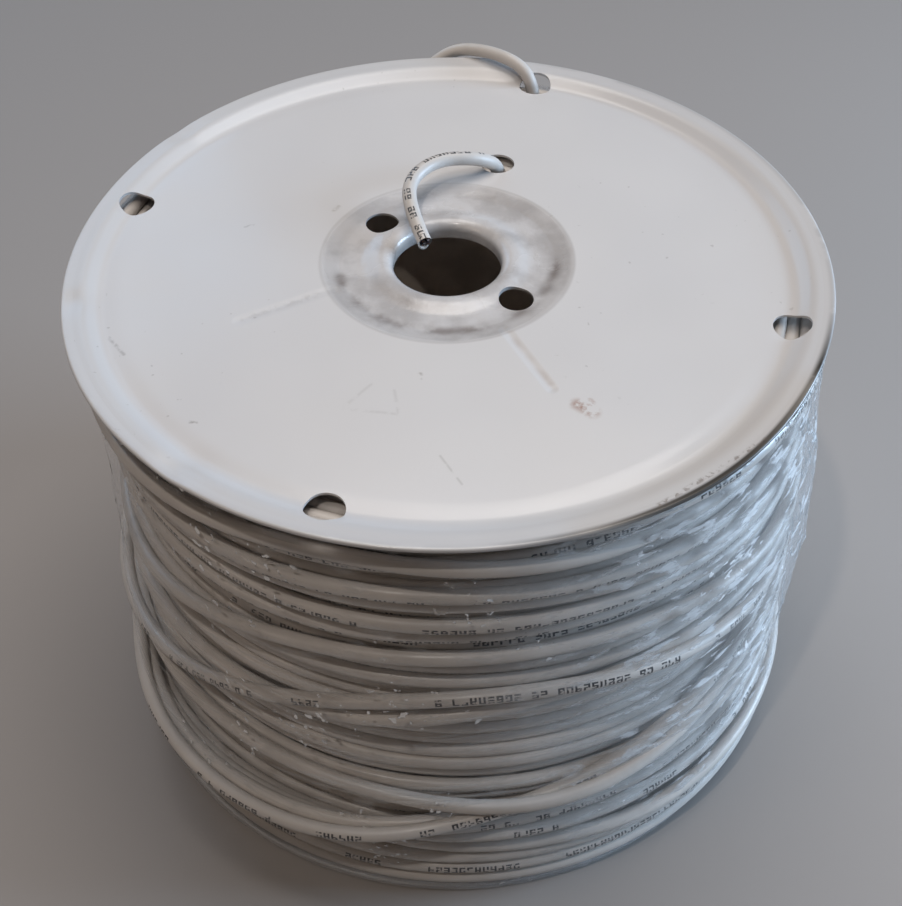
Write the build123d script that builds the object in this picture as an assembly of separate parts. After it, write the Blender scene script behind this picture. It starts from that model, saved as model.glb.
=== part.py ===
from build123d import *
import math
import os

# A pressed-steel cable spool that stands on one end. Its origin is on the floor
# under the middle of the barrel, +Z runs up the barrel, and +Y is the far side.

# Spool, over all
flange_d = 266.7            # flange over its folded edge
spool_height = 195.0        # from folded edge to folded edge
sheet_t = 0.9               # flange sheet

# Profile of a flange, depths measured inwards from the folded edge's outer side
hem_w = 2.4                 # edge folded back flat on itself
hem_bevel = 0.6             # outer corner of the fold
hem_depth = 0.0             # outer side of the folded edge
band_w = 5.0                # flat band inside the folded edge
slope_w = 5.4               # slope from the band down to the groove
groove_w = 6.0              # shallow groove between slope and face
groove_depth = 0.8          # groove below the face
face_depth = 3.0            # face where it meets the groove
face_rise = 1.8             # rise of the face from there to the pan
pan_d = 88.8                # recessed centre, where its wall meets the face
pan_wall_w = 6.6            # sloping wall of the pan, as seen from above
pan_depth = 1.0             # pan below the face beside it
lip_w = 5.6                 # lip round the bore, from the bore's wall to its slope
lip_slope_w = 4.5           # slope from the lip down to the pan
lip_rise = 2.0              # lip above the pan
lip_bend_r = 3.5            # bend from the lip into the bore
collar_len = 6.2            # collar that lines the bore, from the lip

# Holes
bore_d = 38.1
drive_hole_d = 12.0
drive_circle_d = 63.5
drive_angle = 137.0         # degrees from +X, seen from above
rim_hole_d = 12.7
rim_hole_inset = 13.15      # from the flange's edge to the middle of a rim hole
rim_hole_count = 4
rim_angle = -18.0           # first rim hole
start_hole_d = 12.7
start_hole_r = 60.5         # distance of the start hole from the axis
start_angle = 71.0

# Barrel
barrel_t = 0.8
barrel_fit = 0.4            # between the pan's boss and the barrel's inside

# Winding
cable_d = 5.2
wind_fit = 0.3              # winding to barrel, and winding to flange
wind_inset = 2.35           # from the flange's edge in to the fullest layers
end_step = 11.5             # drop from the fullest layers to the turns against the flanges
turn_relief = 1.1           # depth of the valleys between turns on the ends
turns_per_ridge = 3         # turns side by side between two valleys
pocket_depth = 9.0          # pockets in the winding under the start and finish holes
pocket_d = 13.5

# Where the winding's side swells and dips, from the bottom up: how far along its length,
# as a share, and how far inside its fullest layers
wind_side = [
    (0.02, 6.0),
    (0.05, 0.6),
    (0.22, 0.0),
    (0.30, 2.5),
    (0.37, 4.6),
    (0.47, 0.6),
    (0.57, 5.0),
    (0.70, 2.2),
    (0.83, 5.6),
    (0.925, 3.2),
    (0.95, 7.0),
    (0.985, 8.0),
]

# Wrapping film
film_t = 0.4
film_fit = 0.3

# Worked out from the sizes above
flange_r = flange_d / 2
bore_r = bore_d / 2
pan_r = pan_d / 2
face_in_z = face_depth - face_rise
groove_in_r = flange_r - hem_w - band_w - slope_w - groove_w
face_slope = face_rise / (groove_in_r - pan_r)
barrel_inner_r = pan_r + barrel_fit
barrel_outer_r = barrel_inner_r + barrel_t
barrel_end_z = face_in_z + sheet_t + face_slope * (barrel_outer_r - pan_r)
wind_bore_r = barrel_outer_r + wind_fit
wind_z0 = face_depth + sheet_t + groove_depth + wind_fit
wind_z1 = spool_height - wind_z0
wind_len = wind_z1 - wind_z0
wind_r = flange_r - wind_inset
rim_hole_r = flange_r - rim_hole_inset      # distance of the rim holes from the axis
finish_angle = rim_angle + 360 / rim_hole_count     # the rim hole that takes the finish end


def on_circle(radius, angle):
    """The point at this radius and angle in degrees, as x and y."""
    turn = math.radians(angle)
    return radius * math.cos(turn), radius * math.sin(turn)


def turned(section):
    """A face drawn in radius and height, turned once round the axis."""
    return revolve(Plane.XZ * section, Axis.Z, 360)


def flange_section():
    """Half section of a flange that lies with its folded edge on the floor."""
    pan_z = face_in_z + pan_depth
    lip_z = pan_z - lip_rise
    band_z = hem_depth + sheet_t
    hem_in = flange_r - hem_w
    slope_out = hem_in - band_w
    groove_mid = slope_out - slope_w
    shape = [
        (bore_r, lip_z + collar_len),
        (bore_r, lip_z),
        (bore_r + lip_w, lip_z),
        (bore_r + lip_w + lip_slope_w, pan_z),
        (pan_r - pan_wall_w, pan_z),
        (pan_r, face_in_z),
        (groove_in_r, face_depth),
        (groove_mid, face_depth + groove_depth),
        (slope_out, band_z),
        (hem_in, band_z),
    ]
    hem = [
        (hem_in, hem_depth),
        (flange_r - hem_bevel, hem_depth),
        (flange_r, hem_depth + hem_bevel),
        (flange_r, hem_depth + 2 * sheet_t),
    ]
    inside = [(x, z + sheet_t) for x, z in reversed(shape[2:-1])]
    inside.append((bore_r + sheet_t, lip_z + sheet_t))
    inside.append((bore_r + sheet_t, lip_z + collar_len))
    bends = [lip_bend_r] + [0] * (len(shape) + len(hem) + len(inside) - 3)
    bends[-2] = lip_bend_r - sheet_t
    outline = FilletPolyline(*shape, *hem, *inside, radius=bends)
    return make_face(Wire(outline.edges() + Line(outline @ 1, outline @ 0).edges()))


def hole_cutter(radius, angle, hole_d):
    """A round cutter through the flange at this place."""
    x, y = on_circle(radius, angle)
    return Pos(x, y, 0) * Cylinder(hole_d / 2, 2 * spool_height)


def pressed_flange(side):
    """One flange, folded edge down. side is 1, or -1 for the one that is turned over."""
    flange = turned(flange_section())
    for k in range(rim_hole_count):
        angle = rim_angle + k * 360 / rim_hole_count
        flange -= hole_cutter(rim_hole_r, side * angle, rim_hole_d)
    for k in range(2):
        flange -= hole_cutter(drive_circle_d / 2, side * (drive_angle + k * 180), drive_hole_d)
    flange -= hole_cutter(start_hole_r, side * start_angle, start_hole_d)
    return flange


def turned_over(solid):
    """The same solid turned upside down about the X axis, at the top of the spool."""
    return Pos(0, 0, spool_height) * Rot(180, 0, 0) * solid


def barrel_tube():
    """The tube between the flanges. It stands on their inner faces, round the pans."""
    length = spool_height - 2 * barrel_end_z
    tube = Cylinder(barrel_outer_r, length) - Cylinder(barrel_inner_r, length)
    return Pos(0, 0, spool_height / 2) * tube


def side_points(gap):
    """Points up the winding's swelling side, as radius and height, this far outside it."""
    return [(wind_r - inset + gap, wind_z0 + share * wind_len) for share, inset in wind_side]


def winding_section():
    """Half section of the winding: ridges of turns on its ends, and its swelling side."""
    wind_end_r = wind_r - end_step
    ridges = round((wind_end_r - wind_bore_r) / (turns_per_ridge * cable_d))
    ridge_w = (wind_end_r - wind_bore_r) / ridges
    low = [(wind_bore_r, wind_z0 + turn_relief)]
    high = [(wind_bore_r, wind_z1 - turn_relief)]
    for k in range(ridges):
        crest = wind_bore_r + (k + 0.5) * ridge_w
        valley = wind_bore_r + (k + 1) * ridge_w
        low += [(crest, wind_z0), (valley, wind_z0 + turn_relief)]
        high += [(crest, wind_z1), (valley, wind_z1 - turn_relief)]
    return make_face(Polyline(*low, *side_points(0), *reversed(high), close=True))


def cable_winding():
    """The wound cable as one turned solid, with the pockets its two ends come out of."""
    winding = turned(winding_section())
    pocket = Cylinder(pocket_d / 2, 2 * pocket_depth)
    for radius, angle in ((start_hole_r, start_angle), (rim_hole_r, finish_angle)):
        x, y = on_circle(radius, angle)
        winding -= Pos(x, y, wind_z1) * pocket
    return winding


def wrap_film():
    """The film wound round the cable: a thin turned skin that follows the winding's side."""
    skin = side_points(film_fit) + side_points(film_fit + film_t)[::-1]
    return turned(make_face(Polyline(*skin, close=True)))


def cord_tube(name, route, section_d):
    """A tube of straight runs joined by tangent arcs, each as large as its runs allow."""
    points = [Vector(*p) for p in route]
    radii = []
    for before, here, after in zip(points, points[1:], points[2:]):
        run_in = here - before
        run_out = after - here
        half_turn = math.radians(run_in.get_angle(run_out)) / 2
        radii.append(0.45 * min(run_in.length, run_out.length) / math.tan(half_turn))
    path = FilletPolyline(*points, radius=radii).wire()
    start = Plane(path @ 0, z_dir=path % 0)
    tube = sweep(start * Circle(section_d / 2), path)
    print(name, "radii", [round(r, 1) for r in radii], "length", round(path.length, 1))
    print(name, "volume", round(tube.volume), "of", round(math.pi * section_d**2 / 4 * path.length))
    return tube


# Start end of the cable: up through the start hole and over towards the bore
tail_route = [
    (21.2, 57.6, spool_height - 13.6),
    (21.0, 57.2, spool_height - 3.0),
    (13.0, 50.0, spool_height + 6.4),
    (-3.5, 45.2, spool_height + 9.4),
    (-13.8, 33.0, spool_height + 8.6),
    (-12.6, 18.0, spool_height + 5.4),
    (-7.4, 4.4, spool_height + 1.4),
]

# Finish end of the cable: off the winding, over the folded edge and down its rim hole
finish_route = [
    (*on_circle(rim_hole_r - 0.1, finish_angle), spool_height - 13.6),
    (*on_circle(rim_hole_r, finish_angle + 0.2), spool_height - 4.2),
    (*on_circle(rim_hole_r + 3.2, finish_angle + 3.0), spool_height + 4.0),
    (*on_circle(flange_r - 1.6, finish_angle + 9.8), spool_height + 4.2),
    (*on_circle(flange_r + 5.8, finish_angle + 16.2), spool_height + 0.6),
    (*on_circle(flange_r + 4.9, finish_angle + 21.2), spool_height - 8.4),
    (*on_circle(flange_r - 0.9, finish_angle + 26.8), spool_height - 15.6),
]

parts = {
    "bottom_flange": pressed_flange(1),
    "top_flange": turned_over(pressed_flange(-1)),
    "barrel": barrel_tube(),
    "cable_winding": cable_winding(),
    "wrap_film": wrap_film(),
    "start_tail": cord_tube("start_tail", tail_route, cable_d),
    "finish_tail": cord_tube("finish_tail", finish_route, cable_d),
}

os.makedirs("parts", exist_ok=True)
for name, solid in parts.items():
    solid.label = name
    export_step(solid, f"parts/{name}.step")
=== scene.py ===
import math

import bmesh
import bpy
import numpy as np
from mathutils import Euler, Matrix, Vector


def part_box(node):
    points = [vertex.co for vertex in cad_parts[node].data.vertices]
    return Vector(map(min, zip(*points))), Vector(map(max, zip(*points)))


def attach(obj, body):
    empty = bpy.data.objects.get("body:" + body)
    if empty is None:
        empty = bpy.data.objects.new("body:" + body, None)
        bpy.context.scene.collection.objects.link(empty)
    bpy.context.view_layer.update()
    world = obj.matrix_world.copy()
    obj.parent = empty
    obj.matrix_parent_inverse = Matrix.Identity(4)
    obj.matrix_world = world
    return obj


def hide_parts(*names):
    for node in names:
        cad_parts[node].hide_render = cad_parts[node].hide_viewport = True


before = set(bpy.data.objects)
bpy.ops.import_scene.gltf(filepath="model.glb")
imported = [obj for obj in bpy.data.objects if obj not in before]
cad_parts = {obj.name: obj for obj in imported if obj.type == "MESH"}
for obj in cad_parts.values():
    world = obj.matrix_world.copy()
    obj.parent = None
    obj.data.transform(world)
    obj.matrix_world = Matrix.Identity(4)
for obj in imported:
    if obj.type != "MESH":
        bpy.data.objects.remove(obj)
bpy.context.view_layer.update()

mm = 0.001

# Camera
# It stands in front of the spool and looks down on the top flange, a little turned
# about its own line of sight, as a hand-held camera does.
camera = bpy.data.objects.new("camera", bpy.data.cameras.new("camera"))
bpy.context.scene.collection.objects.link(camera)
camera.location = (0.0, -395.71 * mm, 508.47 * mm)
camera.rotation_euler = Euler([math.radians(a) for a in (47.359, 0.627, -0.693)], "XYZ")
camera.data.lens = 57.19
camera.data.sensor_width = 36.0
camera.data.shift_y = -0.1
camera.data.clip_end = 20.0
bpy.context.scene.camera = camera

# Bottom flange and top flange
# Both are the same disc, pressed from painted steel sheet. The rim is folded flat, a
# shallow groove stiffens it, and the middle is a recessed pan round a lipped bore.
flange_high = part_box("top_flange")[1]
flange_r = flange_high[0]
spool_h = flange_high[2]
sheet_t = 0.9 * mm
face_depth = 3.0 * mm
face_rise = 1.8 * mm
pan_depth = 1.0 * mm
lip_rise = 1.5 * mm
groove_depth = 0.8 * mm
pan_r = 44.4 * mm
pan_foot_r = pan_r - 6.4 * mm
bore_r = 19.05 * mm
collar_len = 6.2 * mm
hem_in = flange_r - 2.4 * mm
band_in = hem_in - 5.0 * mm
groove_mid = band_in - 5.4 * mm
around = 540             # columns of the discs' grids


def bent(corners, radii, steps):
    """A path of straight runs with a round bend at each inner corner: the arc that is
    tangent to both runs there, as points evenly spaced in angle."""
    corners = np.asarray(corners, float)
    path = [corners[:1]]
    for before, here, after, radius in zip(corners, corners[1:], corners[2:], radii):
        way_in = (here - before) / np.linalg.norm(here - before)
        way_out = (after - here) / np.linalg.norm(after - here)
        turn = math.acos(np.clip(way_in @ way_out, -1, 1))
        setback = radius * math.tan(turn / 2)
        side = way_out - way_in * (way_in @ way_out)
        side /= np.linalg.norm(side)
        angle = np.linspace(0, turn, steps)[:, None]
        start = here - way_in * setback
        path.append(start + radius * (np.sin(angle) * way_in + (1 - np.cos(angle)) * side))
    path.append(corners[-1:])
    return np.vstack(path)


def shape_mesh(name, points, faces, uv=None, sharp=None):
    """A smooth-shaded mesh of these points and four-sided faces, linked to the scene. Its
    poles are closed by merging points at one place. uv holds one pair for each corner
    of each face, in the faces' order."""
    mesh = bpy.data.meshes.new(name)
    count = len(faces)
    mesh.vertices.add(len(points))
    mesh.vertices.foreach_set("co", np.asarray(points, np.float32).ravel())
    mesh.loops.add(count * 4)
    mesh.loops.foreach_set("vertex_index", np.asarray(faces, np.int32).ravel())
    mesh.polygons.add(count)
    mesh.polygons.foreach_set("loop_start", np.arange(count, dtype=np.int32) * 4)
    mesh.polygons.foreach_set("use_smooth", np.ones(count, bool))
    if uv is not None:
        mesh.uv_layers.new(name="along").data.foreach_set("uv", np.asarray(uv, np.float32).ravel())
    mesh.update(calc_edges=True)
    shell = bmesh.new()
    shell.from_mesh(mesh)
    bmesh.ops.remove_doubles(shell, verts=shell.verts, dist=0.0001 * mm)
    shell.to_mesh(mesh)
    shell.free()
    mesh.validate()
    if sharp:
        mesh.set_sharp_from_angle(angle=math.radians(sharp))
    obj = bpy.data.objects.new(name, mesh)
    bpy.context.scene.collection.objects.link(obj)
    return obj


def grid_faces(rows, columns, close_rows=False):
    """Four-sided faces of rows x columns points, where each row goes all the way round.
    The last row is joined to the first one on ask."""
    i = np.arange(rows if close_rows else rows - 1)[:, None]
    j = np.arange(columns)[None, :]
    here, after = i * columns, (i + 1) % rows * columns
    j2 = (j + 1) % columns
    return np.stack([here + j, here + j2, after + j2, after + j], -1).reshape(-1, 4)


def disc_profile():
    """The sheet's closed section as radius and depth below the rim. Depth runs along the
    outer side from the bore to the rim, then back along the inner side."""
    pan_z = face_depth - face_rise + pan_depth
    lip_z = pan_z - lip_rise
    outer = [
        (bore_r, lip_z + collar_len),
        (bore_r, lip_z),
        (bore_r + 5.6 * mm, lip_z),
        (bore_r + 10.1 * mm, pan_z),
        (pan_r - 6.6 * mm, pan_z),
        (pan_r, face_depth - face_rise),
        (groove_mid - 6.0 * mm, face_depth),
        (groove_mid, face_depth + groove_depth),
        (band_in, 0.5 * sheet_t),
        (hem_in - 1.6 * mm, 0.3 * sheet_t),
        (hem_in + 1.1 * mm, 0.0),
        (flange_r, 0.0),
        (flange_r, 2 * sheet_t),
        (hem_in, 2 * sheet_t),
    ]
    inner = [(r, z + sheet_t) for r, z in reversed(outer[3:9])]
    inner.append((bore_r + sheet_t, lip_z + sheet_t))
    inner.append((bore_r + sheet_t, lip_z + collar_len))
    radii = [3.5, 12.0, 12.0, 5.0, 8.0, 40.0, 6.0, 8.0, 8.0, 3.0, 0.85, 0.85, 0.3]
    radii += [7.0, 7.0, 40.0, 7.0, 6.0, 11.0, 2.6]
    return bent(outer + inner, [r * mm for r in radii], 7)


def knocks(x, y):
    """How far the sheet is knocked in or out at x, y: a sum of bell-shaped dents, each
    depth * exp(-(distance / reach)^2 / 2), with its own reach outwards and round the axis.
    Each row holds a dent's x, y, depth and these two reaches, in mm."""
    dents = [
        (-102.6, 79.8, 0.5, 4.0, 4.0),
        (-126.9, -19.9, 0.8, 3.5, 4.0),
        (-133.6, 6.0, 1.5, 6.0, 70.0),
        (-82.0, -97.8, 1.1, 5.0, 5.0),
        (80.0, -100.0, 2.4, 7.0, 30.0),
        (20.0, -112.0, 0.8, 9.0, 24.0),
        (-6.0, -84.0, -0.7, 14.0, 16.0),
        (-60.0, 30.0, -0.6, 38.0, 38.0),
        (52.0, 40.0, -0.5, 34.0, 34.0),
    ]
    depth = np.zeros_like(x)
    for cx, cy, deep, across, along in dents:
        out = np.hypot(cx, cy)
        radial = (np.hypot(x, y) / mm - out) / across
        turn = np.angle((x + 1j * y) * (cx - 1j * cy))
        depth += deep * mm * np.exp(-(radial**2 + (out * turn / along) ** 2) / 2)
    return depth


def pressed_disc(name, top):
    """One flange: the section turned round the axis, x = r cos a, y = r sin a, with its
    depth measured down from the top rim or up from the floor. The top one has dents."""
    profile = disc_profile()
    a = np.arange(around) * 2 * np.pi / around
    x = profile[:, :1] * np.cos(a)
    y = profile[:, :1] * np.sin(a)
    faces = grid_faces(len(profile), around, True)
    if top:
        z = spool_h - profile[:, 1:] - knocks(x, y)
    else:
        z = profile[:, 1:] + 0 * x
        faces = faces[:, ::-1]
    return shape_mesh(name, np.stack([x, y, z], -1).reshape(-1, 3), faces, sharp=50)


def punch(disc, top):
    """Cuts the round holes through a disc: four at the rim, two for drive pins and one
    for the start of the cable. Each hole is its distance from the axis in mm, its angle
    in degrees and its radius in mm, and its cutter is a prism of many sides."""
    rim_holes = [(120.2, -18.0 + 90.0 * k, 6.35) for k in range(4)]
    drive_holes = [(31.75, 137.0 + 180.0 * k, 6.0) for k in range(2)]
    start_hole = (60.5, 71.0, 6.35)
    sides = 56
    ring = np.arange(sides) * 2 * np.pi / sides
    low, high = (spool_h - 20 * mm, spool_h + 10 * mm) if top else (-10 * mm, 20 * mm)
    cutter = bpy.data.meshes.new("cutter")
    points, faces = [], []
    for distance, angle, radius in rim_holes + drive_holes + [start_hole]:
        cx = distance * mm * math.cos(math.radians(angle))
        cy = distance * mm * math.sin(math.radians(angle))
        base = len(points)
        for z in (low, high):
            points += [(cx + radius * mm * math.cos(t), cy + radius * mm * math.sin(t), z)
                       for t in ring]
        faces.append([base + k for k in reversed(range(sides))])
        faces.append([base + sides + k for k in range(sides)])
        for k in range(sides):
            after = (k + 1) % sides
            faces.append([base + k, base + after, base + sides + after, base + sides + k])
    cutter.from_pydata(points, [], faces)
    tool = bpy.data.objects.new("cutter", cutter)
    bpy.context.scene.collection.objects.link(tool)
    cut = disc.modifiers.new("holes", "BOOLEAN")
    cut.operation = "DIFFERENCE"
    cut.solver = "EXACT"
    cut.object = tool
    settle(disc)
    bpy.data.objects.remove(tool)


def settle(obj):
    """Makes an object's modifiers part of its mesh."""
    bpy.context.view_layer.update()
    graph = bpy.context.evaluated_depsgraph_get()
    made = bpy.data.meshes.new_from_object(obj.evaluated_get(graph))
    obj.modifiers.clear()
    obj.data = made


def nodes_of(material_name):
    """A new material, its node tree and its surface shader."""
    material = bpy.data.materials.new(material_name)
    material.use_nodes = True
    tree = material.node_tree
    return material, tree, tree.nodes["Principled BSDF"]


def add_node(tree, kind, settings=None, inputs=None):
    """One node of a tree, with its settings made and its inputs set or linked."""
    node = tree.nodes.new(kind)
    for key, value in (settings or {}).items():
        setattr(node, key, value)
    for key, value in (inputs or {}).items():
        if isinstance(value, bpy.types.NodeSocket):
            tree.links.new(value, node.inputs[key])
        else:
            node.inputs[key].default_value = value
    return node


def maths(tree, operation, *values, clamp=False):
    """The result of one sum on numbers or sockets."""
    node = add_node(tree, "ShaderNodeMath", {"operation": operation, "use_clamp": clamp},
                    dict(enumerate(values)))
    return node.outputs[0]


def times(tree, first, second, clamp=False):
    """One number or socket times another."""
    return maths(tree, "MULTIPLY", first, second, clamp=clamp)


def plus(tree, first, second, clamp=False):
    """One number or socket plus another."""
    return maths(tree, "ADD", first, second, clamp=clamp)


def minus(tree, first, second):
    """One number or socket less another."""
    return maths(tree, "SUBTRACT", first, second)


def tinted(tree, share, under, over):
    """Colour `under` with colour `over` laid on it by a share from 0 to 1."""
    node = add_node(tree, "ShaderNodeMix", {"data_type": "RGBA"}, {0: share, 6: under, 7: over})
    return node.outputs[2]


def ramp(tree, value, low, high, at_low=0.0, at_high=1.0):
    """A smooth change from at_low to at_high while a value goes from low to high."""
    node = add_node(tree, "ShaderNodeMapRange", {"interpolation_type": "SMOOTHSTEP"},
                    {0: value, 1: low, 2: high, 3: at_low, 4: at_high})
    return node.outputs[0]


def off_axis(tree, split):
    """Distance from the spool's axis: sqrt(x^2 + y^2) of a split-up place."""
    squares = plus(tree, times(tree, split[0], split[0]), times(tree, split[1], split[1]))
    return maths(tree, "SQRT", squares)


def new_group(name, inputs, outputs):
    """An empty shader node group with named number or vector sockets."""
    group = bpy.data.node_groups.new(name, "ShaderNodeTree")
    for label, kind, value in inputs:
        socket = group.interface.new_socket(label, in_out="INPUT", socket_type=kind)
        if value is not None:
            socket.default_value = value
    for label, kind in outputs:
        group.interface.new_socket(label, in_out="OUTPUT", socket_type=kind)
    start = group.nodes.new("NodeGroupInput")
    end = group.nodes.new("NodeGroupOutput")
    return group, start.outputs, end.inputs


def use_group(tree, group, inputs):
    """A group placed in a tree, with its inputs set or linked."""
    return add_node(tree, "ShaderNodeGroup", {"node_tree": group}, inputs).outputs


def blotches_group():
    """Soft patches: noise of a given scale, raised to a mask between two levels."""
    group, given, made = new_group(
        "blotches",
        [("Vector", "NodeSocketVector", None), ("Scale", "NodeSocketFloat", 40.0),
         ("Low", "NodeSocketFloat", 0.45), ("High", "NodeSocketFloat", 0.65),
         ("Detail", "NodeSocketFloat", 4.0)],
        [("Mask", "NodeSocketFloat")])
    noise = add_node(group, "ShaderNodeTexNoise", None,
                     {key: given[key] for key in ("Vector", "Scale", "Detail")})
    group.links.new(ramp(group, noise.outputs[0], given["Low"], given["High"]), made["Mask"])
    return group


def stroke_group():
    """A mark: 1 on the line from Start to End, fading to 0 at Width from it."""
    group, given, made = new_group(
        "stroke",
        [("Vector", "NodeSocketVector", None), ("Start", "NodeSocketVector", None),
         ("End", "NodeSocketVector", None), ("Width", "NodeSocketFloat", 0.001)],
        [("Mask", "NodeSocketFloat")])

    def vector(operation, *values):
        return add_node(group, "ShaderNodeVectorMath", {"operation": operation},
                        dict(enumerate(values)))

    reach = vector("SUBTRACT", given["Vector"], given["Start"]).outputs[0]
    run = vector("SUBTRACT", given["End"], given["Start"]).outputs[0]
    along = vector("DOT_PRODUCT", reach, run).outputs[1]
    length = vector("DOT_PRODUCT", run, run).outputs[1]
    share = maths(group, "DIVIDE", along, length, clamp=True)
    scaled = vector("SCALE", run)
    group.links.new(share, scaled.inputs[3])
    gap = vector("LENGTH", vector("SUBTRACT", reach, scaled.outputs[0]).outputs[0]).outputs[1]
    group.links.new(ramp(group, gap, 0.0, given["Width"], 1.0, 0.0), made["Mask"])
    return group


def ring_group():
    """A ring round the axis: 1 at Radius, fading to 0 at Width from it."""
    group, given, made = new_group(
        "ring",
        [("Vector", "NodeSocketVector", None), ("Radius", "NodeSocketFloat", 0.1),
         ("Width", "NodeSocketFloat", 0.001)],
        [("Mask", "NodeSocketFloat")])
    split = add_node(group, "ShaderNodeSeparateXYZ", None, {0: given["Vector"]}).outputs
    distance = off_axis(group, split)
    gap = maths(group, "ABSOLUTE", minus(group, distance, given["Radius"]))
    group.links.new(ramp(group, gap, 0.0, given["Width"], 1.0, 0.0), made["Mask"])
    return group


blotches = blotches_group()
stroke = stroke_group()
ring = ring_group()


def blotched(tree, where, scale, low, high, detail=4.0):
    """The mask of the soft patches at a place."""
    return use_group(tree, blotches, {"Vector": where, "Scale": scale, "Low": low, "High": high,
                                      "Detail": detail})[0]


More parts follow.
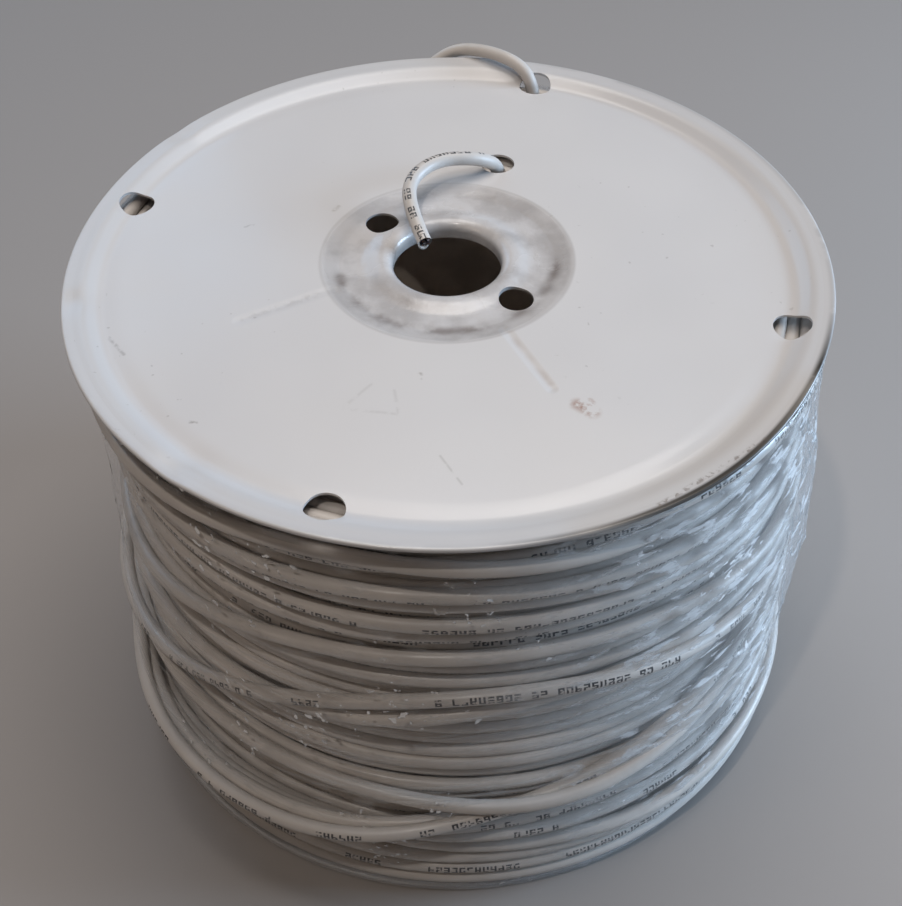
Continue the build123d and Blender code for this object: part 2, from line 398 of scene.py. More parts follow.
def white_paint():
    """Satin white paint on the discs, with painted shade on the outer rim band and on the pan's
    wall, a broken dark line along the rim on the near right, a yellowish painted shade near the
    front right rim, dirt in the pan, scuffs round the bore, and a few smudges, dark spots and
    scratches on the face."""
    material, tree, shader = nodes_of("white_paint")
    where = add_node(tree, "ShaderNodeTexCoord").outputs["Object"]
    flat = add_node(tree, "ShaderNodeVectorMath", {"operation": "MULTIPLY"},
                    {0: where, 1: (1, 1, 0)}).outputs[0]
    split = add_node(tree, "ShaderNodeSeparateXYZ", None, {0: where}).outputs

    def patch(scale, low, high, detail=4.0):
        return blotched(tree, where, scale, low, high, detail)

    def band(radius, width):
        return use_group(tree, ring, {"Vector": where, "Radius": radius, "Width": width})[0]

    def mark(start, end, width):
        points = [(p[0] * mm, p[1] * mm, 0.0) for p in (start, end)]
        return use_group(tree, stroke, {"Vector": flat, "Start": points[0], "End": points[1],
                                        "Width": width * mm})[0]

    flat_r = off_axis(tree, split)

    def inside(edge, soft):
        return ramp(tree, flat_r, edge - soft, edge + soft, 1.0, 0.0)

    colour = tinted(tree, patch(9.0, 0.35, 0.7, 2.0), (0.66, 0.635, 0.62, 1),
                    (0.63, 0.61, 0.605, 1))
    # Painted shade: the outer rim band is tinted greyer, standing in for the shading of its
    # slopes.
    rim_painted_shade = minus(tree, 1.0, inside(band_in - 4.0 * mm, 5.0 * mm))
    colour = tinted(tree, times(tree, rim_painted_shade, 0.32), colour, (0.46, 0.455, 0.46, 1))
    pan = inside(pan_r - 0.6 * mm, 1.6 * mm)
    scuffed = tinted(tree, patch(75.0, 0.36, 0.62, 8.0), (0.41, 0.385, 0.375, 1),
                     (0.60, 0.575, 0.565, 1))
    colour = tinted(tree, times(tree, pan, 0.8), colour, scuffed)
    # Painted shade: the pan's sloping wall is tinted darker.
    wall = minus(tree, pan, inside(pan_foot_r, 1.6 * mm))
    colour = tinted(tree, times(tree, wall, 0.30), colour, (0.36, 0.34, 0.33, 1))
    foot = times(tree, band(pan_foot_r, 4.0 * mm), patch(95.0, 0.34, 0.62))
    grimy = None
    for start, end in (((-38.0, -11.0), (-22.0, -29.0)), ((-14.0, -35.0), (8.0, -35.5)),
                       ((36.5, -6.0), (23.0, -27.0))):
        place = mark(start, end, 9.0)
        grimy = place if grimy is None else maths(tree, "MAXIMUM", grimy, place)
    dirty = plus(tree, 0.08, times(tree, grimy, 0.7))
    foot = times(tree, foot, dirty, clamp=True)
    colour = tinted(tree, foot, colour, (0.15, 0.12, 0.105, 1))
    edge = times(tree, band(pan_r + 0.1 * mm, 1.0 * mm), 0.22)
    colour = tinted(tree, edge, colour, (0.30, 0.27, 0.25, 1))
    right_side = add_node(tree, "ShaderNodeMapRange", None,
                          {0: split[0], 1: 0.01, 2: 0.07, 3: 0.05, 4: 1.0}).outputs[0]
    near_side = add_node(tree, "ShaderNodeMapRange", None,
                         {0: split[1], 1: -0.03, 2: -0.08, 3: 0.12, 4: 1.0}).outputs[0]
    near_right = times(tree, right_side, near_side)
    # A broken dark line along the rim's edge, on the near right side only.
    rim_dark_line = band(flange_r - 0.8 * mm, 2.2 * mm)
    rim_dark_line = times(tree, rim_dark_line, patch(60.0, 0.32, 0.46, 6.0))
    rim_dark_line = times(tree, rim_dark_line, near_right)
    colour = tinted(tree, times(tree, rim_dark_line, 1.6, clamp=True), colour,
                    (0.03, 0.025, 0.02, 1))
    chips = mark((60.0, -116.5), (96.0, -90.0), 1.4)
    chips = times(tree, chips, patch(600.0, 0.50, 0.60))
    colour = tinted(tree, times(tree, chips, 0.7), colour, (0.14, 0.10, 0.08, 1))
    # Painted shade: a yellowish darker band near the front right rim, by the dent there.
    painted_warm_shade = times(tree, mark((40.0, -125.0), (112.0, -68.0), 12.0), 0.35)
    colour = tinted(tree, painted_warm_shade, colour, (0.55, 0.49, 0.43, 1))
    crease = mark((19.5, -39.5), (32.3, -63.5), 2.2)
    crease = times(tree, crease, patch(70.0, 0.30, 0.60, 3.0))
    colour = tinted(tree, times(tree, crease, 0.42), colour, (0.40, 0.33, 0.29, 1))
    rust = (0.34, 0.20, 0.15, 1)
    pressed = (0.38, 0.35, 0.33, 1)
    speck = (0.25, 0.22, 0.20, 1)
    # Start and end in mm, width in mm, strength and colour of each mark
    marks = [
        ((40.2, -73.0), (44.6, -76.5), 3.6, 0.62, rust),
        ((44.2, -71.4), (46.0, -74.0), 1.6, 0.50, rust),
        ((-24.9, -63.0), (-33.0, -72.6), 1.0, 0.16, pressed),
        ((-33.0, -73.6), (-16.2, -76.4), 1.0, 0.16, pressed),
        ((-16.0, -75.6), (-17.4, -66.0), 1.0, 0.16, pressed),
        ((-45.0, -19.0), (-68.1, -29.9), 2.4, 0.16, (0.33, 0.30, 0.28, 1)),
        ((-3.1, -94.0), (3.3, -105.3), 0.7, 0.35, (0.42, 0.40, 0.38, 1)),
        ((-9.2, -58.8), (-8.8, -60.5), 1.2, 0.5, speck),
        ((-79.0, -78.0), (-81.0, -77.6), 1.0, 0.5, speck),
        ((-113.0, -36.5), (-106.5, -45.5), 1.0, 0.35, (0.30, 0.27, 0.25, 1)),
        ((-72.8, 20.5), (-70.0, 21.5), 0.9, 0.4, (0.33, 0.31, 0.29, 1)),
        ((-41.0, 28.5), (-39.5, 31.0), 1.4, 0.35, (0.36, 0.32, 0.28, 1)),
    ]
    for start, end, width, share, ink in marks:
        broken = times(tree, mark(start, end, width), patch(330.0, 0.40, 0.58))
        colour = tinted(tree, times(tree, broken, share * 1.5), colour, ink)
    specks_and_painted_glints = times(tree, patch(420.0, 0.74, 0.80, 1.0), patch(14.0, 0.5, 0.6, 1.0))
    colour = tinted(tree, times(tree, specks_and_painted_glints, 0.35), colour, (0.28, 0.25, 0.23, 1))
    tree.links.new(colour, shader.inputs["Base Color"])
    rough = plus(tree, 0.30, times(tree, patch(30.0, 0.3, 0.7, 5.0), 0.12))
    rough = minus(tree, rough, times(tree, pan, 0.12))
    tree.links.new(rough, shader.inputs["Roughness"])
    shader.inputs["Coat Weight"].default_value = 0.35
    shader.inputs["Coat Roughness"].default_value = 0.14
    fine = add_node(tree, "ShaderNodeTexNoise", None,
                    {"Vector": where, "Scale": 900.0, "Detail": 3.0})
    waves = add_node(tree, "ShaderNodeTexNoise", None,
                     {"Vector": where, "Scale": 22.0, "Detail": 2.0})
    pits = times(tree, pan, patch(120.0, 0.42, 0.62, 6.0))
    pits = times(tree, pits, 0.35)
    for start, end, width, deep in (((-39.0, -16.0), (-70.0, -31.0), 3.0, 0.9),
                                    ((18.8, -38.3), (32.5, -66.0), 2.6, 1.2)):
        pressed_in = times(tree, mark(start, end, width), deep)
        pits = minus(tree, pits, pressed_in)
    height = plus(tree, times(tree, fine.outputs[0], 0.03), waves.outputs[0])
    height = plus(tree, height, pits)
    bump = add_node(tree, "ShaderNodeBump", None,
                    {"Strength": 0.5, "Distance": 0.6 * mm, "Height": height})
    tree.links.new(bump.outputs[0], shader.inputs["Normal"])
    return material


paint = white_paint()
for node, top in (("bottom_flange", False), ("top_flange", True)):
    disc = pressed_disc(node + "_pressing", top)
    punch(disc, top)
    disc.data.materials.clear()
    disc.data.materials.append(paint)
    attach(disc, "root")
    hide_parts(node)

# Barrel
# A plain steel tube that stands on both discs, round their pans, in dull greyed paint.
# Only a dark strip of it shows, through the bore.
barrel = bpy.data.objects["barrel"]


def dull_steel():
    """Greyed paint on the tube, patchy and rough."""
    material, tree, shader = nodes_of("dull_steel")
    where = add_node(tree, "ShaderNodeTexCoord").outputs["Object"]
    patches = blotched(tree, where, 60.0, 0.35, 0.7)
    colour = tinted(tree, patches, (0.72, 0.63, 0.55, 1), (0.55, 0.48, 0.42, 1))
    tree.links.new(colour, shader.inputs["Base Color"])
    rough = plus(tree, 0.45, times(tree, patches, 0.2))
    tree.links.new(rough, shader.inputs["Roughness"])
    return material


barrel.data.materials.clear()
barrel.data.materials.append(dull_steel())

# Cable winding
# One long white data cable, wound in layers. The inner layers lie close, and the
# outermost turns are loose and cross each other. Each turn rests on the turns laid
# before it.
cable_d = 5.2 * mm
wind_low, wind_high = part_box("cable_winding")
steps = 168              # points along one turn
first_angle = math.radians(100)     # where each turn is counted from, round the axis
random = np.random.default_rng(41)


def bell(half, reach):
    """Weights that soften a row of values: exp(-(i / reach)^2 / 2) for i from -half to
    half, with a sum of 1."""
    weights = np.exp(-0.5 * (np.arange(-half, half + 1) / reach) ** 2)
    return weights / weights.sum()


def smooth_noise(count, reach):
    """Random values along the cable, softened over `reach` points, with unit spread."""
    raw = random.normal(size=count + 8 * reach)
    soft = np.convolve(raw, bell(4 * reach, reach), "same")[4 * reach:4 * reach + count]
    return soft / soft.std()


def layer_heights(turns, start, end, wander):
    """Height of the cable at each point of a close layer: an even climb from start to
    end, with a slow wander."""
    count = turns * steps
    share = np.arange(count) / (count - 1)
    return start + (end - start) * share + wander * smooth_noise(count, steps // 3)


def loose_heights(table):
    """Height of the loose turns. Each row holds one turn's height in mm at five places
    from the left round the front to the right, 30 degrees apart. Behind the spool each
    turn climbs or falls to the next one, and all of it is softened, for a cable is stiff."""
    at = np.array([0.3056, 0.3889, 0.4722, 0.5556, 0.6389])
    where = (np.arange(len(table))[:, None] + at).ravel()
    heights = np.interp(np.arange(len(table) * steps) / steps, where, np.ravel(table) * mm)
    return stiffened(heights + 0.5 * mm * smooth_noise(len(heights), steps // 5), 6)


def rest_on_each_other(heights, angle):
    """Radius of each turn's middle. A turn lies on the core, or on any earlier turn that
    it passes nearer than a cable's thickness: r = r_below + sqrt(d^2 - dz^2). The core
    is fuller low down, on the right and at the top on the left, with a hollow in front."""
    low = np.clip((150 * mm - heights) / (90 * mm), 0, 1)
    foot = np.clip((24 * mm - heights) / (12 * mm), 0, 1)
    hollow = 1.6 * (1 - np.sin(angle)) * np.exp(-((heights - 84 * mm) / (19 * mm)) ** 2)
    upper = np.clip(heights / (10 * mm) - 17.0, 0, 1)
    full = 10.5 * np.clip(-np.cos(angle + 0.4), 0, 1) ** 6 * upper
    floor_r = (113.6 + 7.0 * low + 2.0 * foot - hollow + full + 2.4 * np.cos(angle)) * mm
    radius = floor_r.copy()
    for i in range(1, len(heights)):
        dz = np.abs(heights[i] - heights[:i])
        over = radius[:i] + np.sqrt(np.clip(cable_d**2 - dz**2, 0, None))
        radius[i] = np.maximum(floor_r[i], np.where(dz < cable_d, over, 0).max(0))
    return radius


def stiffened(values, reach):
    """The values softened along the cable, which can't bend sharply."""
    padded = np.pad(values, 3 * reach, mode="edge")
    return np.convolve(padded, bell(3 * reach, reach), "valid")


def tube(name, path, radius, sides, start_length, twist, wall=None, slant=0.0):
    """A round tube along a path: path + radius * (cos b * side + sin b * up), where side
    and up stand square to the path. Its UV is length along and turn round, in metres
    and turns. Its ends are closed round a middle point, and with a wall given, the far
    end is hollow: a cut jacket of that thickness, cut back by the slant on its upper side."""
    along = np.gradient(path, axis=0)
    along /= np.linalg.norm(along, axis=1)[:, None]
    side = np.cross(along, (0.0, 0.0, 1.0))
    side /= np.linalg.norm(side, axis=1)[:, None]
    up = np.cross(side, along)
    b = np.arange(sides) * 2 * np.pi / sides
    ringed = np.cos(b)[None, :, None] * side[:, None] + np.sin(b)[None, :, None] * up[:, None]
    inside = 0.0 if wall is None else radius - wall
    deep = 0.0 if wall is None else 2.0 * mm + slant
    back = -slant * (0.5 + 0.5 * np.sin(b - 0.5))[:, None] * along[-1]
    bottom = path[-1] - deep * along[-1]
    rims = [path[-1] + inside * ringed[-1] + back, bottom + inside * ringed[-1],
            np.repeat(bottom[None], sides, 0)]
    outside = path[:, None] + radius * ringed
    outside[-1] += back
    capped = np.concatenate([np.repeat(path[:1, None], sides, 1), outside, np.array(rims)])
    faces = grid_faces(len(capped), sides)[:, ::-1]
    length = np.concatenate([[0], np.cumsum(np.linalg.norm(np.diff(path, axis=0), axis=1))])
    length = np.pad(length, (1, 3), mode="edge") + start_length
    spin = np.pad(twist, (1, 3), mode="edge")
    i, j = np.divmod(np.arange(len(faces)), sides)
    u = np.stack([length[i + 1], length[i + 1], length[i], length[i]], -1)
    v = np.stack([j, j + 1, j + 1, j], -1) / sides
    v += np.stack([spin[i + 1], spin[i + 1], spin[i], spin[i]], -1)
    return shape_mesh(name, capped.reshape(-1, 3), faces, np.stack([u, v], -1).reshape(-1, 2), 60)


def printed_group():
    """A printed row of plain digit-like marks: the UV is cut into cells along the cable,
    and seven bars in each cell are inked or left by a random value of that cell. Some
    cells, and some runs of six cells, stay empty."""
    group, given, made = new_group(
        "printed_row",
        [("Along", "NodeSocketFloat", 0.0), ("Round", "NodeSocketFloat", 0.0)],
        [("Ink", "NodeSocketFloat")])
    cell = maths(group, "DIVIDE", given["Along"], 2.8 * mm)
    index = maths(group, "FLOOR", cell)
    x = maths(group, "FRACT", cell)
    turned = maths(group, "FRACT", given["Round"])
    y = maths(group, "DIVIDE", minus(group, turned, 0.42), 0.16)

    def within(value, low, high):
        return times(group, maths(group, "GREATER_THAN", value, low),
                     maths(group, "LESS_THAN", value, high))

    def chance(seed, odds):
        noise = add_node(group, "ShaderNodeTexWhiteNoise", {"noise_dimensions": "2D"},
                         {"Vector": add_node(group, "ShaderNodeCombineXYZ", None,
                                             {0: index, 1: seed}).outputs[0]})
        return maths(group, "LESS_THAN", noise.outputs[0], odds)

    bars = [(0.12, 0.86, 0.0, 0.21), (0.12, 0.86, 0.40, 0.60), (0.12, 0.86, 0.79, 1.0),
            (0.10, 0.36, 0.0, 0.5), (0.10, 0.36, 0.5, 1.0),
            (0.62, 0.88, 0.0, 0.5), (0.62, 0.88, 0.5, 1.0)]
    ink = None
    for seed, (x0, x1, y0, y1) in enumerate(bars):
        bar = times(group, within(x, x0, x1), within(y, y0, y1))
        bar = times(group, bar, chance(seed + 0.5, 0.66))
        ink = bar if ink is None else maths(group, "MAXIMUM", ink, bar)
    word = maths(group, "FLOOR", maths(group, "DIVIDE", index, 6.0))
    kept_word = add_node(group, "ShaderNodeTexWhiteNoise", {"noise_dimensions": "1D"}, {"W": word})
    kept_cell = chance(11.5, 0.84)
    ink = times(group, ink, maths(group, "LESS_THAN", kept_word.outputs[0], 0.72))
    ink = times(group, ink, kept_cell)
    group.links.new(ink, made["Ink"])
    return group


printed_row = printed_group()


def white_jacket():
    """The cable's smooth white jacket, a little uneven in tone, with its printed row."""
    material, tree, shader = nodes_of("white_jacket")
    uv = add_node(tree, "ShaderNodeUVMap", {"uv_map": "along"}).outputs[0]
    split = add_node(tree, "ShaderNodeSeparateXYZ", None, {0: uv}).outputs
    where = add_node(tree, "ShaderNodeTexCoord").outputs["Object"]
    ink = use_group(tree, printed_row, {"Along": split[0], "Round": split[1]})[0]
    patches = blotched(tree, where, 45.0, 0.3, 0.7)
    worn = blotched(tree, where, 900.0, 0.30, 0.5)
    colour = tinted(tree, patches, (0.62, 0.575, 0.535, 1), (0.54, 0.50, 0.465, 1))
    ink = times(tree, times(tree, ink, worn), 0.95)
    colour = tinted(tree, ink, colour, (0.035, 0.035, 0.04, 1))
    tree.links.new(colour, shader.inputs["Base Color"])
    rough = plus(tree, 0.32, times(tree, patches, 0.15))
    tree.links.new(rough, shader.inputs["Roughness"])
    ripple = add_node(tree, "ShaderNodeTexNoise", None,
                      {"Vector": where, "Scale": 260.0, "Detail": 2.0})
    bump = add_node(tree, "ShaderNodeBump", None,
                    {"Strength": 0.35, "Distance": 0.3 * mm, "Height": ripple.outputs[0]})
    tree.links.new(bump.outputs[0], shader.inputs["Normal"])
    return material


jacket = white_jacket()
low_z = wind_low[2] + cable_d / 2 + 0.4 * mm
high_z = wind_high[2] - cable_d / 2 - 0.4 * mm
# Heights of the loose turns in mm, one row for each turn, as loose_heights reads them
outermost = [
    (9, 9, 9, 9, 9),
    (14, 15, 15, 14, 14),
    (20, 21, 21, 19, 19),
    (30, 35, 27, 24, 24),
    (36, 40, 37, 35, 30),
    (41, 43, 43, 46, 46),
    (47, 46, 50, 55, 66),
    (53, 43, 53, 66, 88),
    (59, 64, 58, 62, 78),
    (84, 90, 106, 112, 106),
    (62, 99, 118, 117, 95),
    (112, 129, 133, 133, 119),
    (143, 140, 144, 144, 132),
    (149, 147, 151, 150, 140),
    (154, 156, 161, 156, 148),
    (161, 163, 167, 164, 158),
    (173, 171, 176, 182, 184),
    (168, 178, 182, 176, 171),
    (184, 186, 187, 187, 186),
]
layers = [33, 32, len(outermost)]        # turns in each drawn layer
heights = np.concatenate([
    layer_heights(layers[0], low_z, high_z, 0.1 * mm),
    layer_heights(layers[1], high_z, low_z, 0.6 * mm),
    loose_heights(np.array(outermost, float)),
])
heights = np.clip(heights, low_z, high_z)
turns = sum(layers)
one_turn = np.arange(steps) * 2 * np.pi / steps + first_angle
radii = rest_on_each_other(heights.reshape(turns, steps), one_turn).reshape(-1)
# The cable is too stiff to dip between two places that it rests on
radii = np.lib.stride_tricks.sliding_window_view(np.pad(radii, 3, mode="edge"), 7).max(1)
radii = stiffened(radii, 4)
turn_angle = 2 * np.pi * np.arange(turns * steps) / steps + first_angle
wound = np.stack([radii * np.cos(turn_angle), radii * np.sin(turn_angle), heights], -1)
# How far each loose turn is rolled in front: near 0.45 its printed row shows there
facing = [0.9, 0.45, 0.8, 0.85, 0.45, 0.46, 0.9, 0.44, 0.9, 0.8, 0.43, 0.75, 0.58, 0.52,
          0.9, 0.58, 0.45, 0.66, 0.44]
in_front = np.arange(layers[2]) + 0.4722
roll = 0.82 + 0.16 * smooth_noise(len(wound), 5 * steps // 4)
roll[-layers[2] * steps:] = np.interp(np.arange(layers[2] * steps) / steps, in_front, facing)
drawn_layers = [
    ("inner_turns", 0, layers[0], 8),
    ("middle_turns", layers[0], layers[1], 10),
    ("outer_turns", layers[0] + layers[1], layers[2], 18),
]
for name, first, count, sides in drawn_layers:
    part = slice(first * steps, min((first + count) * steps + 1, len(wound)))
    strand = tube(name, wound[part], cable_d / 2, sides, 0.6 * first, roll[part])
    strand.data.materials.append(jacket)
    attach(strand, "root")
    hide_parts("cable_winding")


def coil_core():
    """The layers under the drawn turns: a turned body whose side is hidden, and whose
    ends are scalloped by its turns: each dips by relief * (1 - |sin(pi (r - r0) / d)|)."""
    inner_r, outer_r = 46.0 * mm, 110.4 * mm
    columns = 120
    r = np.linspace(inner_r, outer_r, 190)
    dip = 1.6 * mm * (1 - np.abs(np.sin(np.pi * (r - inner_r) / cable_d)))
    bottom = np.stack([r, wind_low[2] + dip], -1)
    top = np.stack([r[::-1], wind_high[2] - dip[::-1]], -1)
    section = np.concatenate([bottom, top])
    a = np.arange(columns) * 2 * np.pi / columns
    x, y = section[:, :1] * np.cos(a), section[:, :1] * np.sin(a)
    z = section[:, 1:] + 0 * x
    faces = grid_faces(len(section), columns, True)
    return shape_mesh("coil_core", np.stack([x, y, z], -1).reshape(-1, 3), faces)


core = coil_core()
core.data.materials.append(jacket)
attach(core, "root")
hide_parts("cable_winding")

# Clear wrapping film
# Thin stretch film goes round the turns a few times. It bridges the gaps between them,
# hangs slack on the right, and shines where it is creased; its whitish sheen on the right and its
# glints are painted.
film_columns, film_rows = 420, 70


def film_radius():
    """Heights of the film's rows, and its radius on a grid of heights and angles: the
    furthest cable surface near each point, softened, and three quarters of the way out
    to the film pulled straight between the fullest turns, min over s of
    s z + max(r - s z). It ends outside the lower rim."""
    z = np.linspace(wind_low[2] - 3.0 * mm, wind_high[2] - 0.5 * mm, film_rows)
    column = np.round(np.arange(film_columns) * steps / film_columns).astype(int) % steps
    first = turns - layers[2] - 8        # the loose turns, and eight of the layer below
    grid_r = radii.reshape(turns, steps)[first:, column]
    grid_z = heights.reshape(turns, steps)[first:, column]
    dz = np.abs(z[:, None, None] - grid_z[None])
    crest = np.where(dz < cable_d, grid_r[None] + cable_d / 2 - dz**2 / (3 * cable_d), 0).max(1)
    crest = np.maximum(crest, 120.0 * mm)
    half = 6
    window = bell(half, 2.2)
    wide = np.pad(crest, ((0, 0), (half, half)), mode="wrap")
    crest = np.apply_along_axis(lambda row: np.convolve(row, window, "valid"), 1, wide)
    tall = np.pad(crest, ((half, half), (0, 0)), mode="edge")
    crest = np.apply_along_axis(lambda row: np.convolve(row, window, "valid"), 0, tall)
    slopes = np.linspace(-0.8, 0.8, 33)[:, None, None]
    rise = slopes * z[None, :, None]
    stretched = ((crest[None] - rise).max(1, keepdims=True) + rise).min(0)
    over_rim = np.where(z < 9 * mm, flange_r + 1.0 * mm, 0)[:, None]
    return z, np.maximum(0.25 * crest + 0.75 * stretched, over_rim)


def film_creases(a, z):
    """Creases: a sum of sharp ridges where slanting waves cross zero, (1 - |sin|)^6."""
    total = np.zeros(np.broadcast(a, z).shape)
    for k in range(9):
        slant = random.uniform(-90, 90)
        count = random.integers(3, 15)
        phase = random.uniform(0, 6.28)
        wave = np.sin(count * a + slant * z + phase + 0.8 * np.sin(3 * a + 40 * z + k))
        total += (1 - np.abs(wave)) ** 6 * random.uniform(0.3, 1.0)
    return total


film_z, film_r = film_radius()
film_a = np.arange(film_columns) * 2 * np.pi / film_columns + first_angle
grid_a, grid_z = film_a[None, :], film_z[:, None]
slack_angle = math.radians(-14)      # the film is slack on the right, and bulges there
off_slack = np.angle(np.exp(1j * (grid_a - slack_angle)))
crumple = 0.22 * mm + 0.38 * mm * np.exp(-(off_slack / 0.6) ** 2)
film_r = film_r + 0.3 * mm + crumple * film_creases(grid_a, grid_z)
upright = (grid_z - 112 * mm) / (26 * mm)
film_r = film_r + 4.0 * mm * np.exp(-(off_slack / 0.34) ** 2 / 2 - upright ** 2 / 2)
film_points = np.stack([film_r * np.cos(grid_a), film_r * np.sin(grid_a), grid_z + 0 * film_r], -1)
film = shape_mesh("clear_wrap", film_points.reshape(-1, 3), grid_faces(film_rows, film_columns))
skin = film.modifiers.new("thickness", "SOLIDIFY")
skin.thickness = 0.06 * mm
skin.offset = 1.0
settle(film)


def clear_film():
    """Stretch film: almost clear, glossy, with whitish streaks where it is creased or lies in
    several layers. On the right side its streaks and haze are painted sheen, and sparse
    near-white spots are painted glints."""
    material, tree, shader = nodes_of("clear_film")
    where = add_node(tree, "ShaderNodeTexCoord").outputs["Object"]
    drawn = add_node(tree, "ShaderNodeMapping", None,
                     {"Vector": where, "Scale": (1.0, 1.0, 3.2)}).outputs[0]
    streaks = blotched(tree, drawn, 80.0, 0.54, 0.64, 8.0)
    pulled = add_node(tree, "ShaderNodeMapping", None,
                      {"Vector": where, "Rotation": (0.0, 0.10, 0.0),
                       "Scale": (0.3, 0.3, 9.0)}).outputs[0]
    lines = blotched(tree, pulled, 75.0, 0.52, 0.64, 3.0)
    haze = blotched(tree, where, 14.0, 0.35, 0.75, 3.0)
    x, _, z = add_node(tree, "ShaderNodeSeparateXYZ", None, {0: where}).outputs
    # On the right side the streaks turn nearly opaque and whitish and a haze is added: painted
    # sheen, standing in for the right window's reflection on the film. The film also hangs slack
    # there.
    slack_side_sheen = times(tree, ramp(tree, x, 10 * mm, 110 * mm),
                  ramp(tree, z, 20 * mm, 90 * mm, 0.3, 1.0))
    streak_and_sheen_share = plus(tree, 0.08, times(tree, slack_side_sheen, 0.84))
    off_bridge = maths(tree, "ABSOLUTE", minus(tree, z, 88 * mm))
    bridged = ramp(tree, off_bridge, 22 * mm, 52 * mm, 0.13, 0.015)
    # Painted glints: sparse spots made nearly opaque and near white.
    specks_and_painted_glints = blotched(tree, where, 330.0, 0.64, 0.70, 1.0)
    painted_glint_clusters = blotched(tree, where, 32.0, 0.56, 0.64, 1.0)
    specks_and_painted_glints = times(tree, specks_and_painted_glints, painted_glint_clusters)
    gathered = ramp(tree, z, 4 * mm, 12 * mm, 0.3, 0.0)
    alpha = plus(tree, 0.01, times(tree, streaks, streak_and_sheen_share))
    alpha = plus(tree, alpha, times(tree, specks_and_painted_glints, 0.9))
    alpha = plus(tree, alpha, gathered)
    alpha = plus(tree, alpha, times(tree, haze, 0.03))
    alpha = plus(tree, alpha, times(tree, lines, bridged))
    alpha = plus(tree, alpha, times(tree, slack_side_sheen, 0.14), clamp=True)
    tree.links.new(alpha, shader.inputs["Alpha"])
    colour = tinted(tree, specks_and_painted_glints, (0.76, 0.77, 0.78, 1), (0.95, 0.95, 0.95, 1))
    tree.links.new(colour, shader.inputs["Base Color"])
    shader.inputs["Roughness"].default_value = 0.10
    shader.inputs["Specular IOR Level"].default_value = 1.0
    crinkle = add_node(tree, "ShaderNodeTexNoise", None,
                       {"Vector": drawn, "Scale": 120.0, "Detail": 5.0})
    bump = add_node(tree, "ShaderNodeBump", None,
                    {"Strength": 0.8, "Distance": 1.0 * mm, "Height": crinkle.outputs[0]})
    tree.links.new(bump.outputs[0], shader.inputs["Normal"])
    return material


film.data.materials.clear()
film.data.materials.append(clear_film())
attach(film, "root")
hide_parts("wrap_film")

# Start end and finish end of the cable
# The start comes up through the start hole, bends over and ends in a plain cut near the
# bore. The finish leaves the winding at the back and is tucked into a rim hole.


def smooth_route(name, route):
    """Points along the smooth line through a route, whose points are its control points."""
    curve = bpy.data.curves.new(name, "CURVE")
    curve.dimensions = "3D"
    curve.resolution_u = 24
    line = curve.splines.new("NURBS")
    line.points.add(len(route) - 1)
    line.points.foreach_set("co", np.column_stack([route, np.ones(len(route))]).ravel())
    line.order_u = 3
    line.use_endpoint_u = True
    holder = bpy.data.objects.new(name, curve)
    bpy.context.scene.collection.objects.link(holder)
    bpy.context.view_layer.update()
    graph = bpy.context.evaluated_depsgraph_get()
    mesh = bpy.data.meshes.new_from_object(holder.evaluated_get(graph))
    path = np.empty(len(mesh.vertices) * 3)
    mesh.vertices.foreach_get("co", path)
    bpy.data.objects.remove(holder)
    bpy.data.meshes.remove(mesh)
    return path.reshape(-1, 3)


top = spool_h / mm
start_route = np.array([
    (21.2, 57.6, top - 13.6),
    (21.0, 57.2, top - 3.0),
    (13.0, 50.0, top + 6.4),
    (-3.5, 45.2, top + 9.4),
    (-13.8, 33.0, top + 8.6),
    (-12.6, 18.0, top + 5.4),
    (-7.4, 4.4, top + 1.4),
]) * mm
finish_route = np.array([
    (37.1, 114.2, top - 13.6),
    (36.7, 114.4, top - 4.2),
    (31.9, 119.2, top + 4.0),
    (18.8, 130.4, top + 4.2),
    (4.4, 139.1, top + 0.6),
    (-7.7, 138.0, top - 8.4),
    (-20.3, 130.9, top - 15.6),
]) * mm
start_path = smooth_route("start_line", start_route)
finish_path = smooth_route("finish_line", finish_route)
start_end = tube("start_end", start_path, cable_d / 2, 24, start_length=3.1,
                 twist=np.full(len(start_path), 0.30), wall=0.55 * mm, slant=3.4 * mm)
finish_end = tube("finish_end", finish_path, cable_d / 2, 24, start_length=9.4,
                  twist=np.full(len(finish_path), 0.65))
for end, node in ((start_end, "start_tail"), (finish_end, "finish_tail")):
    end.data.materials.append(jacket)
    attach(end, "root")
    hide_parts(node)
end_point = start_path[-1]
end_way = start_path[-1] - start_path[-2]
end_way /= np.linalg.norm(end_way)


def conductor_ends(name, spots, radius, reach, sides=14):
    """Round conductors seen at the cable's cut: short closed rods at spots across it, in
    mm. Each ends inside the longest side of the jacket, the first one by -reach mm and
    every next one by half a millimetre less."""
    across = np.cross(end_way, (0.0, 0.0, 1.0))
    across /= np.linalg.norm(across)
    over = np.cross(across, end_way)
    b = np.arange(sides) * 2 * np.pi / sides
    points, faces = [], []
    for k, (x, y) in enumerate(spots):
        middle_line = end_point + x * mm * across + y * mm * over
        circle = radius * mm * (np.cos(b)[:, None] * across + np.sin(b)[:, None] * over)
        tip = middle_line + (reach + 0.5 * k) * mm * end_way
        back = middle_line - 5.2 * mm * end_way
        points += [back + 0 * circle, back + circle, tip + circle, tip + 0 * circle]
        faces.append(grid_faces(4, sides)[:, ::-1] + 4 * sides * k)
    return shape_mesh(name, np.vstack(points), np.vstack(faces), sharp=40)


def plain_colour(name, colour, roughness, metallic=0.0):
    """A plain material of one colour."""
    material, _, shader = nodes_of(name)
    shader.inputs["Base Color"].default_value = colour
    shader.inputs["Roughness"].default_value = roughness
    shader.inputs["Metallic"].default_value = metallic
    return material


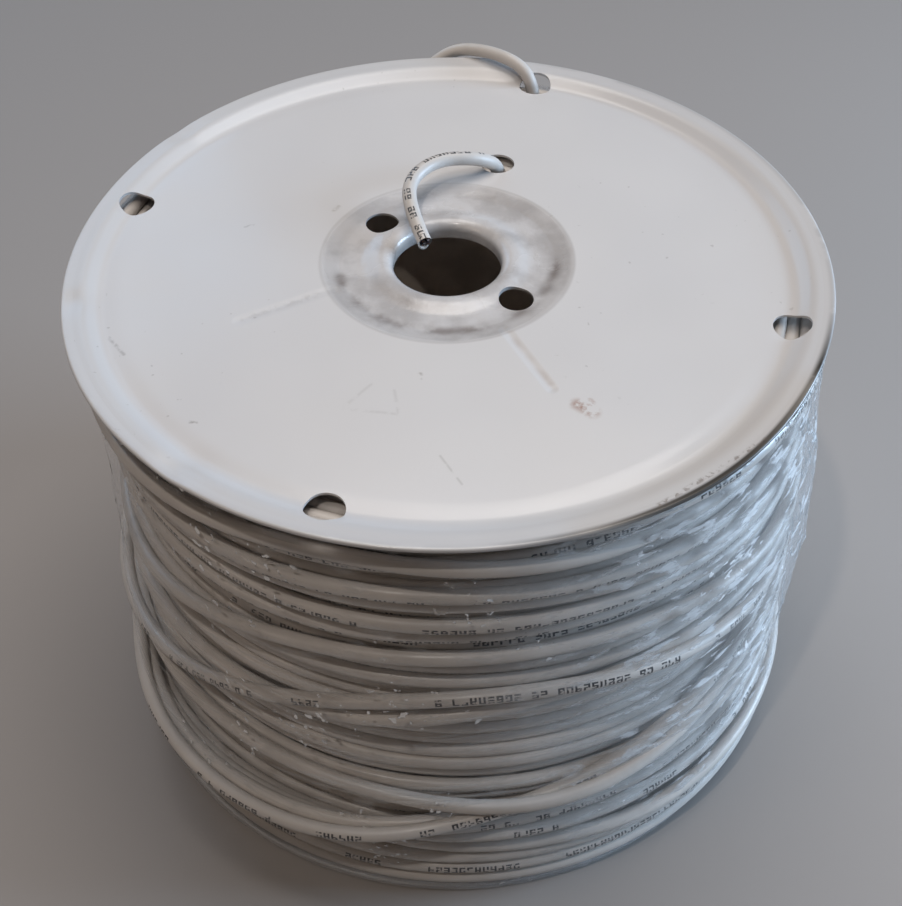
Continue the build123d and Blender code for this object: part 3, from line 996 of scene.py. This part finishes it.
dark_spots = [(-0.35, 1.35), (0.75, 0.55), (0.85, -1.05), (-1.1, -0.2)]
pale_spots = [(0.6, 1.4), (1.6, -0.2), (-0.1, -1.3), (-1.3, 0.8)]
conductors = [
    conductor_ends("dark_conductors", dark_spots, 0.5, -1.9),
    conductor_ends("pale_conductors", pale_spots, 0.45, -2.6),
    conductor_ends("copper_ends", dark_spots, 0.22, -1.7),
]
for piece, colour in zip(conductors, (
        plain_colour("dark_sleeves", (0.035, 0.03, 0.04, 1), 0.4),
        plain_colour("pale_sleeves", (0.45, 0.36, 0.36, 1), 0.45),
        plain_colour("copper", (0.55, 0.26, 0.15, 1), 0.35, 1.0))):
    piece.data.materials.append(colour)
    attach(piece, "root")
    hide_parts("start_tail")

# Floor and light
# A pale floor and soft light from above, with cool window light from the back on the
# left and from the right, and a warm room light and a small lamp in front.


def pale_floor():
    """A plain, pale, matt floor."""
    mesh = bpy.data.meshes.new("floor")
    half = 4.0
    corners = [(-half, -half, 0), (half, -half, 0), (half, half, 0), (-half, half, 0)]
    mesh.from_pydata(corners, [], [(0, 1, 2, 3)])
    floor = bpy.data.objects.new("floor", mesh)
    bpy.context.scene.collection.objects.link(floor)
    mesh.materials.append(plain_colour("floor_matt", (0.33, 0.30, 0.28, 1), 0.75))


def soft_light(name, place, target, size, power, colour):
    """A square area lamp at a place, turned to face a target."""
    data = bpy.data.lights.new(name, "AREA")
    data.shape = "SQUARE"
    data.size = size
    data.energy = power
    data.color = colour
    lamp = bpy.data.objects.new(name, data)
    lamp.location = place
    lamp.rotation_euler = (Vector(target) - Vector(place)).to_track_quat("-Z", "Y").to_euler()
    bpy.context.scene.collection.objects.link(lamp)


pale_floor()
middle = (0.0, 0.0, spool_h / 2)
soft_light("overhead", (0.1, 0.3, 1.6), middle, 1.0, 13.6, (1.0, 0.95, 0.91))
soft_light("left_window", (-0.84, 1.30, 0.98), middle, 1.0, 5.6, (0.42, 0.68, 1.0))
soft_light("right_window", (1.24, 0.06, 0.38), middle, 0.6, 22.0, (0.56, 0.76, 1.0))
soft_light("room_light", (-1.10, -0.65, 0.80), middle, 0.5, 1.7, (1.0, 0.82, 0.68))
soft_light("ceiling_lamp", (-0.35, -0.65, 2.0), middle, 0.06, 6.5, (1.0, 0.93, 0.87))
world = bpy.data.worlds.new("room")
bpy.context.scene.world = world
world.use_nodes = True
background = world.node_tree.nodes["Background"]
background.inputs[0].default_value = (0.50, 0.47, 0.45, 1)
background.inputs[1].default_value = 0.03

bpy.context.scene.view_settings.view_transform = "Standard"
